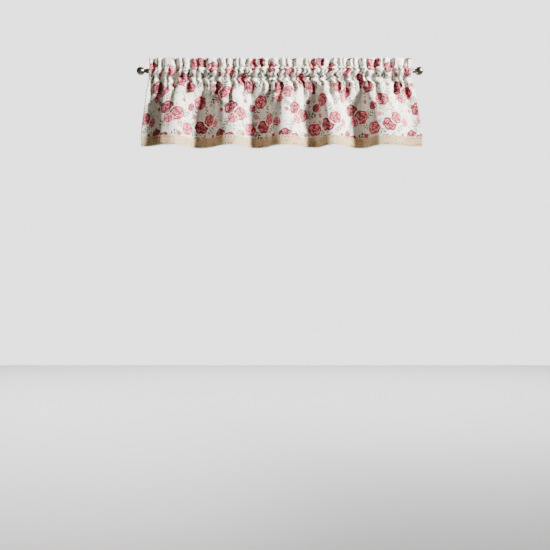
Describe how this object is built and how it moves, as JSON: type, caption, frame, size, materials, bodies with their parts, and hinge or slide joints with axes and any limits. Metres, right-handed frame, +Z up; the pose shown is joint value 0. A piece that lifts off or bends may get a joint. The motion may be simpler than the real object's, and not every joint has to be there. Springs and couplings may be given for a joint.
{
  "type": "window valance with curtain rod",
  "caption": "Gathered rod-pocket window valance with a printed rose pattern and a lace border, hung on a round rod with ball finials.",
  "frame": {"origin": "middle of the curtain rod, on its axis", "axes": "+X along the rod to the viewer's right, +Y towards the window behind, +Z up"},
  "size_m": [1.146, 0.09, 0.3565],
  "materials": {
    "printed_cotton": "matt woven cotton with a printed rose pattern",
    "cotton_lace": "matt ecru crochet lace",
    "brushed_nickel": "satin"
  },
  "bodies": {
    "root": {"valance_cloth": "printed_cotton", "lace_border": "cotton_lace", "curtain_rod": "brushed_nickel", "finial_left": "brushed_nickel", "finial_right": "brushed_nickel"}
  },
  "joints": []
}
